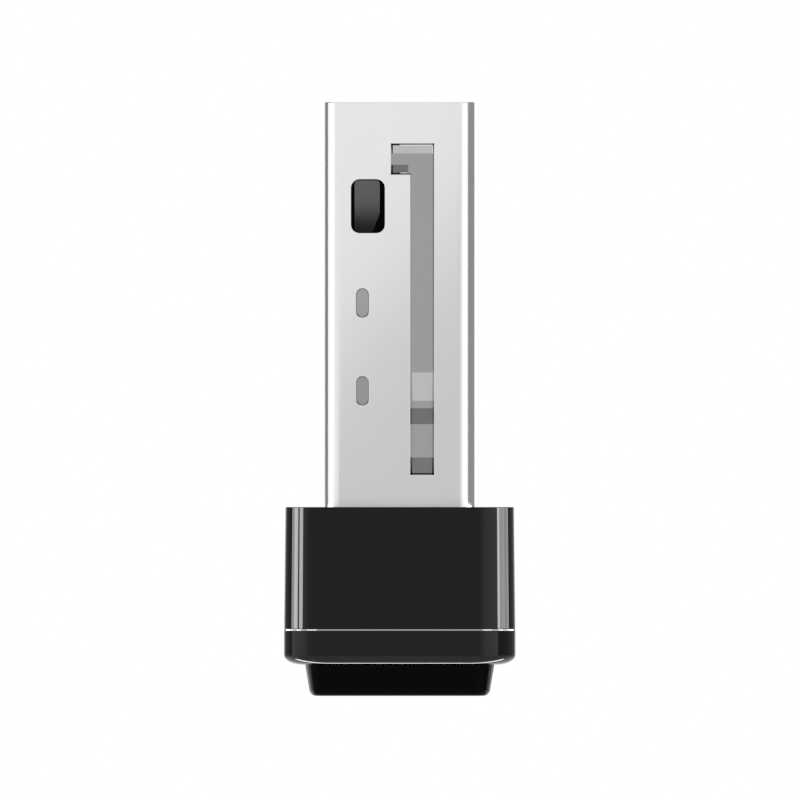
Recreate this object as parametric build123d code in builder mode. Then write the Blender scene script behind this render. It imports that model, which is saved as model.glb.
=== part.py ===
from build123d import *
import os
from math import atan2, degrees

# Nano USB wireless adapter, standing on its end cap with the plug up.
# X is the thin way (through the plug's 4.5 mm), Y is the wide way, Z is up.
# The origin is the middle of the end cap's flat face. All sizes are in millimetres.

# ---- heights, from the flat end up ----
cap_height = 0.94            # end cap below the base ring
ring_height = 1.06           # visible base ring
sleeve_height = 3.67         # visible sleeve, seam to shoulder
plug_reach = 12.16           # shell standing out of the shoulder
seam_z = cap_height + ring_height
shoulder_z = seam_z + sleeve_height
tip_z = shoulder_z + plug_reach

# ---- plug shell: one strip of plated steel, folded and closed with a dovetail seam ----
shell_thick = 4.5
shell_wide = 12.0
shell_wall = 0.3
shell_bend = 0.45            # outside radius of the four bends
tip_round = 0.08
face_window_wide = 2.5       # the receptacle's springs drop into these
face_window_long = 2.2
face_window_pitch = 5.7
face_window_drop = 5.16      # tip to window centre
window_corner = 0.15
seam_gap = 0.04
dovetail_reach = 0.9
dovetail_long = 1.7
dovetail_flare = 0.2
dovetail_drops = (3.1, 9.0)  # tip to the middle of each dovetail
tab_reach = 0.35             # turned-out tabs that catch under the sleeve's roof
tab_wide = 1.6
tab_pitch = 6.0
tab_play = 0.05

# narrow sides of the shell: latch window, coined dimples and hooked slot
latch_window_x = -0.955
latch_window_wide = 1.013
latch_window_long = 1.613
latch_window_drop = 3.125
latch_window_corner = 0.26
dimple_x = -1.12
dimple_wide = 0.396
dimple_long = 0.89
dimple_deep = 0.12
dimple_bump = 0.10
dimple_drops = (6.03, 8.67)
slot_left = 0.315
slot_right = 1.036
slot_hook_left = -0.267
slot_top_drop = 1.24
slot_hook_drop = 2.18
slot_foot_drop = 11.20
slot_taper = 9.0             # degrees that the punched walls lean in
punched_bevel = 0.025

# ---- housing ----
ring_margin_thick = 1.225    # base ring past the shell, each side
ring_margin_wide = 1.5
sleeve_inset = 0.005         # sleeve's foot inside the base ring's edge
sleeve_lean = 0.04           # sleeve's top inside its foot
housing_corner = 1.1         # plan corner of the base ring
sleeve_wall = 0.7
sleeve_roof = 0.9
sleeve_edge = 0.05
ring_top_bevel = 0.05
ring_bottom_round = 0.3
spigot_height = 0.9
spigot_wall = 0.45
ring_bore_corner = 0.3
snap_rib = 0.07              # half-round rib on the spigot
snap_long = 6.0
cap_inset = 0.635            # end cap inside the base ring
cap_draft = 9.5
cap_corner = 0.6
cap_round = 0.22
cap_floor = 0.5
neck_height = 1.2
neck_wall = 0.6
holder_ledge = 0.2           # board holder under the shell's end
slip = 0.03                  # clearance round every moulded fit
relief = 0.1                 # room where nothing has to fit

# ---- contact carrier, cover and contacts ----
tongue_setback = 0.53        # shell tip to tongue end
tongue_bevel = 0.2
cavity_depth = 9.5           # shell tip to the floor of the plug's cavity
nose_long = 3.85             # solid front of the tongue
contact_plate = 0.5          # plastic between the cavity and the board
carrier_side_wall = 0.52
lug_left_gap = 0.105         # latch window's left edge to the lug
lug_right_gap = 0.15
lug_cut_wide = 0.21          # cut across the lug's lower corner
lug_cut_high = 0.57
lug_sink = 0.05              # lug below the shell's face
lug_corner = 0.12
cover_sheet = 0.25
cover_ledge = 0.25
cover_overlap = 0.72         # cover past the front of the board pocket
bridge_long = 1.1            # plastic between the cavity floor and the solder window
solder_window_long = 2.1
solder_window_wide = 8.6
contact_wide = 1.0
contact_sheet = 0.2
contact_proud = 0.02
contact_lead = 0.15
contact_step = 0.35          # length of the step from the tongue down to the board
contact_foot = 1.1
contacts = {                 # name: (place across the tongue, setback from the tip)
    "contact_vbus": (-3.5, 1.35),
    "contact_d_minus": (-1.0, 2.35),
    "contact_d_plus": (1.0, 2.35),
    "contact_ground": (3.5, 1.35),
}

# ---- side latches: hooked strips behind the slots ----
latch_sheet = 0.12
latch_lap = 0.08             # strip past the slot's edge, behind the wall
latch_lip_gap = 0.06         # lip inside the slot's edges
latch_lip_sink = 0.22        # lip's end below the shell's face
latch_lip_rise = 0.24        # height of each turned-out lip
latch_bow_top_drop = 8.12
latch_bow_low_drop = 8.97
latch_bow_end_drop = 9.19
latch_step_drop = 9.67
latch_foot_drop = 10.67
latch_bow_deep = 0.25        # bow behind the strip
latch_step_deep = 0.12       # step behind the strip

# ---- board and its parts ----
board_thick = 0.4
board_room = 0.05
tail_room = 0.2
ear_drop = 0.07
chip_side = 5.0
chip_high = 0.7
chip_drop = 7.9              # tip to chip centre
package_bevel = 0.05
cap_band = 0.22              # tinned end of a chip capacitor or resistor
cap_proud = 0.02
solder_long = 0.3            # solder past each contact's foot

# derived sizes that several pieces share
bore_thick = shell_thick - 2 * shell_wall
bore_wide = shell_wide - 2 * shell_wall
ring_thick = shell_thick + 2 * ring_margin_thick
ring_wide = shell_wide + 2 * ring_margin_wide
sleeve_foot_thick = ring_thick - 2 * sleeve_inset
sleeve_foot_wide = ring_wide - 2 * sleeve_inset
room_thick = sleeve_foot_thick - 2 * sleeve_wall
room_wide = sleeve_foot_wide - 2 * sleeve_wall
room_corner = housing_corner - sleeve_inset - sleeve_wall
spigot_thick = room_thick - 2 * slip
spigot_wide = room_wide - 2 * slip
ring_bore_thick = spigot_thick - 2 * spigot_wall
ring_bore_wide = spigot_wide - 2 * spigot_wall
roof_z = shoulder_z - sleeve_roof
shell_rear_z = roof_z - tab_play - shell_wall
spigot_top_z = seam_z + spigot_height
neck_top_z = cap_height + neck_height
tongue_end_z = tip_z - tongue_setback
cavity_floor_z = tip_z - cavity_depth
pocket_front_z = tongue_end_z - nose_long
solder_window_top_z = cavity_floor_z - bridge_long
carrier_back_x = -(bore_thick / 2 - slip)
carrier_side_y = bore_wide / 2 - slip
pocket_side_y = carrier_side_y - carrier_side_wall
cover_inner_x = carrier_back_x + cover_sheet
board_front_x = -contact_plate
board_back_x = board_front_x - board_thick
board_plug_wide = 2 * (pocket_side_y - board_room)
board_tail_wide = ring_bore_wide - 2 * tail_room
board_front_z = pocket_front_z - board_room
board_ear_z = shell_rear_z - ear_drop
leaf_y = shell_wide / 2 - shell_wall     # outer face of each latch strip

side_face = Plane.XZ.offset(shell_wide / 2)
component_side = Plane(origin=(board_back_x, 0, 0), x_dir=(0, -1, 0), z_dir=(-1, 0, 0))
contact_side = Plane(origin=(board_front_x, 0, 0), x_dir=(0, 1, 0), z_dir=(1, 0, 0))

os.makedirs("parts", exist_ok=True)


def block(x_span, y_span, z_span, mode=Mode.ADD):
    """A box between two values on each axis, in the part that is being built."""
    size = (x_span[1] - x_span[0], y_span[1] - y_span[0], z_span[1] - z_span[0])
    with Locations((x_span[0], y_span[0], z_span[0])):
        Box(*size, align=(Align.MIN, Align.MIN, Align.MIN), mode=mode)


# ---- usb_shell ----
with BuildPart() as side_cuts:
    # latch window and hooked slot, cut through both narrow sides
    with BuildSketch(side_face):
        with Locations((latch_window_x, tip_z - latch_window_drop)):
            RectangleRounded(latch_window_wide, latch_window_long, latch_window_corner)
    extrude(amount=-(shell_wall + relief))
    with BuildSketch(side_face):
        with BuildLine():
            Polyline(
                (slot_hook_left, tip_z - slot_top_drop),
                (slot_right, tip_z - slot_top_drop),
                (slot_right, tip_z - slot_foot_drop),
                (slot_left, tip_z - slot_foot_drop),
                (slot_left, tip_z - slot_hook_drop),
                (slot_hook_left, tip_z - slot_hook_drop),
                close=True,
            )
        make_face()
    extrude(amount=-(shell_wall + relief), taper=slot_taper)
    mirror(about=Plane.XZ)

with BuildPart() as dimple_coins:
    # shallow coined recesses on the outside of both narrow sides
    with BuildSketch(side_face):
        with Locations(*[(dimple_x, tip_z - drop) for drop in dimple_drops]):
            SlotOverall(dimple_long, dimple_wide, rotation=90)
    extrude(amount=-dimple_deep)
    mirror(about=Plane.XZ)

with BuildPart() as dimple_bumps:
    # the same metal pushed up inside
    with BuildSketch(Plane.XZ.offset(bore_wide / 2)):
        with Locations(*[(dimple_x, tip_z - drop) for drop in dimple_drops]):
            SlotOverall(dimple_long, dimple_wide, rotation=90)
    extrude(amount=-dimple_bump)
    mirror(about=Plane.XZ)

with BuildPart() as usb_shell:
    with BuildSketch(Plane.XY.offset(shell_rear_z)):
        RectangleRounded(shell_thick, shell_wide, shell_bend)
        RectangleRounded(bore_thick, bore_wide, shell_bend - shell_wall, mode=Mode.SUBTRACT)
    extrude(amount=tip_z - shell_rear_z)
    tip_rim = usb_shell.faces().sort_by(Axis.Z)[-1]
    fillet(tip_rim.outer_wire().edges(), tip_round)
    add(dimple_bumps.part)
    add(dimple_coins.part, mode=Mode.SUBTRACT)
    add(side_cuts.part, mode=Mode.SUBTRACT)
    # the rim of each cut and dimple in the narrow sides is broken by a small bevel
    side_faces = usb_shell.faces().filter_by(Axis.Y).group_by(Axis.Y)
    for face in side_faces[0] + side_faces[-1]:
        for rim in face.inner_wires():
            chamfer(rim.edges(), punched_bevel)
    # two windows through each wide face
    with BuildSketch(Plane.YZ):
        with Locations((0, tip_z - face_window_drop)):
            with GridLocations(face_window_pitch, 1, 2, 1):
                RectangleRounded(face_window_wide, face_window_long, window_corner)
    extrude(amount=shell_thick, both=True, mode=Mode.SUBTRACT)
    # butt seam with dovetails down the wide face on the tongue's side
    seam_points = [(0, tip_z + relief)]
    for drop in dovetail_drops:
        seam_points += [
            (0, tip_z - drop + dovetail_long / 2 - dovetail_flare),
            (dovetail_reach, tip_z - drop + dovetail_long / 2),
            (dovetail_reach, tip_z - drop - dovetail_long / 2),
            (0, tip_z - drop - dovetail_long / 2 + dovetail_flare),
        ]
    seam_points.append((0, shell_rear_z - relief))
    with BuildSketch(Plane.YZ.offset(-bore_thick / 2)):
        with BuildLine():
            Polyline(*seam_points)
        trace(line_width=seam_gap)
    extrude(amount=shell_wall, both=True, mode=Mode.SUBTRACT)
    # retaining tabs, two on each wide face
    with Locations((0, 0, shell_rear_z + shell_wall / 2)):
        with GridLocations(shell_thick + tab_reach - shell_wall / 2, tab_pitch, 2, 2):
            Box(tab_reach + shell_wall / 2, tab_wide, shell_wall)
usb_shell.part.label = "usb_shell"
export_step(usb_shell.part, "parts/usb_shell.step")

# ---- contacts: gilded strips along the tongue, stepped down to the board ----
contact_parts = {}
for label, (place_y, setback) in contacts.items():
    face_x = contact_proud
    root_x = contact_proud - contact_sheet
    front_z = tip_z - setback
    step_z = solder_window_top_z - board_room
    foot_z = step_z - contact_step - contact_foot
    with BuildPart() as contact:
        with BuildSketch(Plane.XZ.offset(-place_y)):
            with BuildLine():
                Polyline(
                    (root_x, front_z),
                    (face_x - contact_lead, front_z),
                    (face_x, front_z - contact_lead),
                    (face_x, step_z),
                    (board_front_x + contact_sheet, step_z - contact_step),
                    (board_front_x + contact_sheet, foot_z),
                    (board_front_x, foot_z),
                    (board_front_x, step_z - contact_step - contact_sheet / 2),
                    (root_x, step_z - contact_sheet / 2),
                    close=True,
                )
            make_face()
        extrude(amount=contact_wide / 2, both=True)
    contact.part.label = label
    export_step(contact.part, f"parts/{label}.step")
    contact_parts[label] = contact.part

# ---- contact_carrier: black moulding with the tongue, the rear block and two side lugs ----
lug_left = latch_window_x - latch_window_wide / 2 + lug_left_gap
lug_right = latch_window_x + latch_window_wide / 2 - lug_right_gap
lug_top_z = tip_z - latch_window_drop + latch_window_long / 2 - slip
lug_foot_z = tip_z - latch_window_drop - latch_window_long / 2 + slip
hook_room_top_z = tip_z - slot_top_drop + latch_lap
hook_room_foot_z = tip_z - slot_hook_drop - latch_lap
with BuildPart() as carrier_lugs:
    with BuildSketch(Plane.XZ.offset(carrier_side_y)) as lug_face:
        with BuildLine():
            Polyline(
                (lug_left, lug_top_z),
                (lug_right, lug_top_z),
                (lug_right, lug_foot_z + lug_cut_high),
                (lug_right - lug_cut_wide, lug_foot_z),
                (lug_left, lug_foot_z),
                close=True,
            )
        make_face()
        fillet(lug_face.vertices(), lug_corner)
    extrude(amount=shell_wide / 2 - lug_sink - carrier_side_y)
    mirror(about=Plane.XZ)

with BuildPart() as dimple_rooms:
    with BuildSketch(Plane.XZ.offset(carrier_side_y)):
        with Locations(*[(dimple_x, tip_z - drop) for drop in dimple_drops]):
            SlotOverall(dimple_long + 2 * slip, dimple_wide + 2 * slip, rotation=90)
    extrude(amount=-dimple_bump)
    mirror(about=Plane.XZ)

with BuildPart() as contact_carrier:
    block((carrier_back_x, 0), (-carrier_side_y, carrier_side_y), (shell_rear_z, tongue_end_z))
    tongue_end = contact_carrier.faces().sort_by(Axis.Z)[-1]
    chamfer(tongue_end.edges(), tongue_bevel)
    block((0, -carrier_back_x), (-carrier_side_y, carrier_side_y), (shell_rear_z, cavity_floor_z))
    long_edges = contact_carrier.edges().filter_by(Axis.Z).group_by(Axis.Y)
    fillet(long_edges[0].sort_by(Axis.X)[0], shell_bend - shell_wall)
    long_edges = contact_carrier.edges().filter_by(Axis.Z).group_by(Axis.Y)
    fillet(long_edges[-1].sort_by(Axis.X)[0], shell_bend - shell_wall)
    rear_edges = contact_carrier.edges().filter_by(Axis.Z).group_by(Axis.X)[-1]
    fillet(rear_edges, shell_bend - shell_wall)
    # pocket for the board, open at the rear, and the cover's recess over it
    block((carrier_back_x, board_front_x), (-pocket_side_y, pocket_side_y),
          (shell_rear_z, pocket_front_z), mode=Mode.SUBTRACT)
    block((carrier_back_x, cover_inner_x),
          (-pocket_side_y - cover_ledge, pocket_side_y + cover_ledge),
          (shell_rear_z, pocket_front_z + cover_overlap), mode=Mode.SUBTRACT)
    # window for soldering the contacts' feet
    block((board_front_x, -carrier_back_x), (-solder_window_wide / 2, solder_window_wide / 2),
          (solder_window_top_z - solder_window_long, solder_window_top_z), mode=Mode.SUBTRACT)
    add(carrier_lugs.part)
    add(dimple_rooms.part, mode=Mode.SUBTRACT)
    for side in (-1, 1):
        # room for each latch: its hook beside the tongue, its bow beside the rear block
        hook_y = sorted((side * carrier_side_y, side * (leaf_y - latch_sheet - slip)))
        block((slot_hook_left - latch_lap - slip, 0), hook_y,
              (hook_room_foot_z, hook_room_top_z), mode=Mode.SUBTRACT)
        bow_y = sorted((side * carrier_side_y,
                        side * (leaf_y - latch_bow_deep - latch_sheet - slip)))
        block((slot_left - latch_lap - slip, slot_right + latch_lap + slip), bow_y,
              (tip_z - slot_foot_drop - slip, cavity_floor_z), mode=Mode.SUBTRACT)
    for strip in contact_parts.values():
        add(strip, mode=Mode.SUBTRACT)
contact_carrier.part.label = "contact_carrier"
export_step(contact_carrier.part, "parts/contact_carrier.step")

# ---- carrier_cover: thin lid over the board pocket ----
with BuildPart() as carrier_cover:
    cover_side_y = pocket_side_y + cover_ledge - slip
    block((carrier_back_x, cover_inner_x), (-cover_side_y, cover_side_y),
          (shell_rear_z, pocket_front_z + cover_overlap - slip))
carrier_cover.part.label = "carrier_cover"
export_step(carrier_cover.part, "parts/carrier_cover.step")

# ---- side latches ----
for label, on_back in (("front_side_latch", False), ("back_side_latch", True)):
    top_z = tip_z - slot_top_drop - latch_lip_gap
    hook_z = tip_z - slot_hook_drop + latch_lip_gap
    foot_z = tip_z - slot_foot_drop + latch_lip_gap
    lip_y = shell_wide / 2 - latch_lip_sink
    with BuildPart() as side_latch:
        # flat hooked strip against the inside of the wall
        with BuildSketch(Plane.XZ.offset(leaf_y)):
            with BuildLine():
                Polyline(
                    (slot_hook_left - latch_lap, top_z - latch_lip_rise),
                    (slot_right + latch_lap, top_z - latch_lip_rise),
                    (slot_right + latch_lap, tip_z - latch_bow_top_drop),
                    (slot_left - latch_lap, tip_z - latch_bow_top_drop),
                    (slot_left - latch_lap, hook_z + latch_lip_rise),
                    (slot_hook_left - latch_lap, hook_z + latch_lip_rise),
                    close=True,
                )
            make_face()
        extrude(amount=-latch_sheet)
        # lip turned out at the top of the slot
        with BuildSketch(Plane.YZ.offset(slot_hook_left + latch_lip_gap)):
            with BuildLine():
                Polyline(
                    (-leaf_y, top_z - latch_lip_rise),
                    (-lip_y, top_z),
                    (-lip_y + latch_sheet, top_z),
                    (-leaf_y + latch_sheet, top_z - latch_lip_rise),
                    close=True,
                )
            make_face()
        extrude(amount=slot_right - slot_hook_left - 2 * latch_lip_gap)
        # lip turned out under the hook
        with BuildSketch(Plane.YZ.offset(slot_hook_left + latch_lip_gap)):
            with BuildLine():
                Polyline(
                    (-leaf_y, hook_z + latch_lip_rise),
                    (-lip_y, hook_z),
                    (-lip_y + latch_sheet, hook_z),
                    (-leaf_y + latch_sheet, hook_z + latch_lip_rise),
                    close=True,
                )
            make_face()
        extrude(amount=slot_left - slot_hook_left - 2 * latch_lip_gap)
        # bow and step of the leg, behind the wall
        with BuildSketch(Plane.YZ.offset(slot_left - latch_lap)):
            with BuildLine():
                Polyline(
                    (-leaf_y, tip_z - latch_bow_top_drop),
                    (-leaf_y + latch_bow_deep, tip_z - latch_bow_low_drop),
                    (-leaf_y + latch_bow_deep, tip_z - latch_bow_end_drop),
                    (-leaf_y + latch_step_deep, tip_z - latch_step_drop),
                    (-leaf_y + latch_step_deep, tip_z - latch_foot_drop),
                    (-leaf_y + latch_step_deep + latch_sheet, tip_z - latch_foot_drop),
                    (-leaf_y + latch_step_deep + latch_sheet, tip_z - latch_step_drop),
                    (-leaf_y + latch_bow_deep + latch_sheet, tip_z - latch_bow_end_drop),
                    (-leaf_y + latch_bow_deep + latch_sheet, tip_z - latch_bow_low_drop),
                    (-leaf_y + latch_sheet, tip_z - latch_bow_top_drop),
                    close=True,
                )
            make_face()
        extrude(amount=slot_right - slot_left + 2 * latch_lap)
        # foot turned out at the bottom of the slot
        with BuildSketch(Plane.YZ.offset(slot_left + latch_lip_gap)):
            with BuildLine():
                Polyline(
                    (-leaf_y + latch_step_deep, tip_z - latch_foot_drop),
                    (-lip_y, foot_z),
                    (-lip_y + latch_sheet, foot_z),
                    (-leaf_y + latch_step_deep + latch_sheet, tip_z - latch_foot_drop),
                    close=True,
                )
            make_face()
        extrude(amount=slot_right - slot_left - 2 * latch_lip_gap)
        if on_back:
            mirror(about=Plane.XZ, mode=Mode.REPLACE)
    side_latch.part.label = label
    export_step(side_latch.part, f"parts/{label}.step")

# ---- circuit_board: narrow in the plug, wide in the housing ----
with BuildPart() as circuit_board:
    with BuildSketch(contact_side):
        with Locations((0, (neck_top_z + board_front_z) / 2)):
            Rectangle(board_plug_wide, board_front_z - neck_top_z)
        with Locations((0, (neck_top_z + board_ear_z) / 2)):
            Rectangle(board_tail_wide, board_ear_z - neck_top_z)
    extrude(amount=-board_thick)
circuit_board.part.label = "circuit_board"
export_step(circuit_board.part, "parts/circuit_board.step")

# ---- flat packages, each a square-cut body with a bevelled top ----
packages = {                 # name: (plane, across, up, wide, long, high)
    "wifi_chip": (component_side, 0, tip_z - chip_drop, chip_side, chip_side, chip_high),
    "crystal": (component_side, 3.85, tip_z - 7.0, 1.6, 2.0, 0.5),
    "power_inductor": (component_side, -3.85, tip_z - 6.4, 1.6, 2.0, 0.65),
    "voltage_regulator": (component_side, -3.75, tip_z - 9.3, 1.6, 1.6, 0.6),
    "chip_antenna": (component_side, 3.3, neck_top_z + 0.95, 3.2, 1.6, 0.5),
    "status_led": (contact_side, -2.0, neck_top_z + 0.45, 1.0, 0.6, 0.4),
}
for label, (plane, across, up, wide, long, high) in packages.items():
    with BuildPart() as package:
        with BuildSketch(plane):
            with Locations((across, up)):
                RectangleRounded(wide, long, package_bevel)
        extrude(amount=high)
        chamfer(package.faces().sort_by(Axis(plane.origin, plane.z_dir))[-1].edges(), package_bevel)
    package.part.label = label
    export_step(package.part, f"parts/{label}.step")

# ---- two-ended chips: a body with a proud plated cap on each end ----
chip_caps = {                # name: (plane, [(across, up)], wide, long, high)
    "input_capacitor": (component_side, [(-3.75, tip_z - 11.0)], 0.8, 1.6, 0.65),
    "output_capacitor": (component_side, [(-1.9, tip_z - 11.9)], 0.8, 1.6, 0.65),
    "decoupling_capacitors": (component_side,
                              [(0.9 * step, tip_z - 5.0) for step in (-2, -1, 0, 1, 2)],
                              0.5, 0.7, 0.45),
    "crystal_capacitors": (component_side, [(3.35, tip_z - 8.7), (4.35, tip_z - 8.7)], 0.5, 1.0, 0.45),
    "matching_capacitors": (component_side, [(1.5, tip_z - 11.3), (3.0, tip_z - 12.2)], 0.5, 1.0, 0.45),
    "matching_inductor": (component_side, [(2.25, tip_z - 11.3)], 0.5, 1.0, 0.45),
    "bias_resistor": (component_side, [(4.3, tip_z - 10.3)], 0.5, 1.0, 0.35),
    "led_resistor": (contact_side, [(-3.4, neck_top_z + 0.7)], 0.5, 1.0, 0.35),
}
for label, (plane, places, wide, long, high) in chip_caps.items():
    with BuildPart() as chip:
        with BuildSketch(plane):
            with Locations(*places):
                Rectangle(wide - 2 * cap_proud, long)
        extrude(amount=high - cap_proud)
        with BuildSketch(plane):
            with Locations(*places):
                with GridLocations(1, long - cap_band, 1, 2):
                    Rectangle(wide, cap_band)
        extrude(amount=high)
    chip.part.label = label
    export_step(chip.part, f"parts/{label}.step")

# ---- contact_solder: a small wedge of solder at the end of each contact's foot ----
with BuildPart() as contact_solder:
    for place_y, setback in contacts.values():
        foot_z = solder_window_top_z - board_room - contact_step - contact_foot
        with BuildSketch(Plane.XZ.offset(-place_y)):
            with BuildLine():
                Polyline(
                    (board_front_x, foot_z),
                    (board_front_x + contact_sheet, foot_z),
                    (board_front_x, foot_z - solder_long),
                    close=True,
                )
            make_face()
        extrude(amount=contact_wide / 2, both=True)
contact_solder.part.label = "contact_solder"
export_step(contact_solder.part, "parts/contact_solder.step")

# ---- housing_sleeve: glossy moulding with a slot in its roof for the shell ----
with BuildPart() as housing_sleeve:
    with BuildSketch(Plane.XY.offset(seam_z)):
        RectangleRounded(sleeve_foot_thick, sleeve_foot_wide, housing_corner - sleeve_inset)
    extrude(amount=sleeve_height, taper=degrees(atan2(sleeve_lean, sleeve_height)))
    fillet(housing_sleeve.faces().sort_by(Axis.Z)[-1].edges(), sleeve_edge)
    chamfer(housing_sleeve.faces().sort_by(Axis.Z)[0].edges(), sleeve_edge / 2)
    with BuildSketch(Plane.XY.offset(seam_z)):
        RectangleRounded(room_thick, room_wide, room_corner)
    extrude(amount=sleeve_height - sleeve_roof, mode=Mode.SUBTRACT)
    with BuildSketch(Plane.XY.offset(roof_z)):
        RectangleRounded(shell_thick + 2 * slip, shell_wide + 2 * slip, shell_bend + slip)
    extrude(amount=sleeve_roof, mode=Mode.SUBTRACT)
    # grooves for the base ring's snap ribs
    with Locations((0, 0, seam_z + spigot_height / 2)):
        with GridLocations(spigot_thick, 1, 2, 1):
            Cylinder(snap_rib + slip, snap_long + 2 * slip, rotation=(90, 0, 0), mode=Mode.SUBTRACT)
housing_sleeve.part.label = "housing_sleeve"
export_step(housing_sleeve.part, "parts/housing_sleeve.step")

# ---- base_ring: band under the seam, with a spigot that snaps into the sleeve ----
with BuildPart() as base_ring:
    with BuildSketch(Plane.XY.offset(cap_height)):
        RectangleRounded(ring_thick, ring_wide, housing_corner)
    extrude(amount=ring_height)
    fillet(base_ring.faces().sort_by(Axis.Z)[0].edges(), ring_bottom_round)
    chamfer(base_ring.faces().sort_by(Axis.Z)[-1].edges(), ring_top_bevel)
    with BuildSketch(Plane.XY.offset(seam_z)):
        RectangleRounded(spigot_thick, spigot_wide, room_corner)
    extrude(amount=spigot_height)
    with Locations((0, 0, seam_z + spigot_height / 2)):
        with GridLocations(spigot_thick, 1, 2, 1):
            Cylinder(snap_rib, snap_long, rotation=(90, 0, 0))
    with BuildSketch(Plane.XY.offset(cap_height)):
        RectangleRounded(ring_bore_thick, ring_bore_wide, ring_bore_corner)
    extrude(amount=ring_height + spigot_height, mode=Mode.SUBTRACT)
base_ring.part.label = "base_ring"
export_step(base_ring.part, "parts/base_ring.step")

# ---- end_cap: smoked moulding that closes the base ring and passes the lamp's light ----
with BuildPart() as end_cap:
    with BuildSketch(Plane.XY.offset(cap_height)):
        RectangleRounded(ring_thick - 2 * cap_inset, ring_wide - 2 * cap_inset, cap_corner)
    extrude(amount=-cap_height, taper=cap_draft)
    fillet(end_cap.faces().sort_by(Axis.Z)[0].edges(), cap_round)
    neck_corner = ring_bore_corner - slip
    with BuildSketch(Plane.XY.offset(cap_height)):
        RectangleRounded(ring_bore_thick - 2 * slip, ring_bore_wide - 2 * slip, neck_corner)
    extrude(amount=neck_height)
    core_margin = 2 * (slip + neck_wall)
    with BuildSketch(Plane.XY.offset(cap_floor)):
        Rectangle(ring_bore_thick - core_margin, ring_bore_wide - core_margin)
    extrude(amount=neck_top_z - cap_floor, mode=Mode.SUBTRACT)
end_cap.part.label = "end_cap"
export_step(end_cap.part, "parts/end_cap.step")

# ---- board_holder: ring between the spigot and the shell, slotted for the board's ears ----
with BuildPart() as board_holder:
    with BuildSketch(Plane.XY.offset(spigot_top_z)):
        RectangleRounded(spigot_thick, spigot_wide, room_corner)
        Rectangle(bore_thick - holder_ledge, bore_wide - 2 * holder_ledge, mode=Mode.SUBTRACT)
    extrude(amount=shell_rear_z - spigot_top_z)
    ear_y = board_tail_wide / 2 + slip
    block((board_back_x - slip, board_front_x + slip), (-ear_y, ear_y),
          (spigot_top_z, board_ear_z + slip), mode=Mode.SUBTRACT)
board_holder.part.label = "board_holder"
export_step(board_holder.part, "parts/board_holder.step")
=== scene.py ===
import bmesh
import bpy
import numpy as np
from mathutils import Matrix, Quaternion, Vector


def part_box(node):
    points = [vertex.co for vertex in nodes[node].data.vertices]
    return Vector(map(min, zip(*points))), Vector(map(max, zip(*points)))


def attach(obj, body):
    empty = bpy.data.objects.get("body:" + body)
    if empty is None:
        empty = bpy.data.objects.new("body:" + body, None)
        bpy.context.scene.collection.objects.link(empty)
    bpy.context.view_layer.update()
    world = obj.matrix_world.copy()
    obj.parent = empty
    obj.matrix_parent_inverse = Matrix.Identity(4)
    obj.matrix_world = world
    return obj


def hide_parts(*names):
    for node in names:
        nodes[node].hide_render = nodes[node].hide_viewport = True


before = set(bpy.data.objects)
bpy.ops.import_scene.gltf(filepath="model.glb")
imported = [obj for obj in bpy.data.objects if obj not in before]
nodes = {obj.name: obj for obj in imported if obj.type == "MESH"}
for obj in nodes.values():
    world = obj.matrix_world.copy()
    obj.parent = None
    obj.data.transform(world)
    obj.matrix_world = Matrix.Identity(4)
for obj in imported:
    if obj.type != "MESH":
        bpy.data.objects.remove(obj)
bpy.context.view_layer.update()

MM = 0.001


# ---- plug shell ----
# One strip of nickel-plated steel, punched flat, folded round four bends and closed along a
# dovetailed seam. The plating is smooth and bright; recessed surfaces just under the narrow sides' skin carry
# a darker painted shade.
shell_thick = 4.5 * MM
shell_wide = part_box("usb_shell")[1].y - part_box("usb_shell")[0].y
shell_rear_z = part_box("usb_shell")[0].z
tip_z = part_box("usb_shell")[1].z
shell_wall = 0.3 * MM
shell_bend = 0.45 * MM
tip_round = 0.025 * MM


def rounded_loop(half_x, half_y, radius, z, corner_steps=20):
    """A level ring of points, anticlockwise from above: four quarter circles of the given radius,
    joined by straight sides that carry extra points close to their ends, which keep them flat."""
    turn = np.linspace(0, np.pi / 2, corner_steps)
    stretch = np.array([0.03, 0.5, 0.97])[:, None]
    centres = np.array([(1, 1), (-1, 1), (-1, -1), (1, -1)]) * (half_x - radius, half_y - radius)
    arcs = []
    for quarter, centre in enumerate(centres):
        angle = turn + quarter * np.pi / 2
        arcs.append(centre + radius * np.stack([np.cos(angle), np.sin(angle)], 1))
    ring = []
    for quarter, arc in enumerate(arcs):
        following = arcs[(quarter + 1) % 4][0]
        ring += [arc, arc[-1] + stretch * (following - arc[-1])]
    flat = np.concatenate(ring)
    return np.column_stack([flat, np.full(len(flat), z)])


def loft(loops, ends="joined"):
    """Points and faces of a surface through rings of equal count: face (i, j) joins points j and
    j + 1 of ring i to the same points of the next ring. The last ring joins the first, or the
    two outer rings are closed with a flat face each."""
    rings = np.stack(loops)
    rows, columns = rings.shape[:2]
    steps = rows if ends == "joined" else rows - 1
    i, j = np.meshgrid(np.arange(steps), np.arange(columns), indexing="ij")
    up, along = (i + 1) % rows, (j + 1) % columns
    corners = [i * columns + j, i * columns + along, up * columns + along, up * columns + j]
    faces = np.stack(corners, -1).reshape(-1, 4).tolist()
    if ends == "closed":
        faces.append(list(range(columns))[::-1])
        faces.append(list(range((rows - 1) * columns, rows * columns)))
    return rings.reshape(-1, 3), faces


def joined(shapes):
    """Several (points, faces) shapes as one, with each shape's face numbers moved past the last."""
    points, faces, start = [], [], 0
    for shape_points, shape_faces in shapes:
        points.append(shape_points)
        faces += [[start + index for index in face] for face in shape_faces]
        start += len(shape_points)
    return np.concatenate(points), faces


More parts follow.
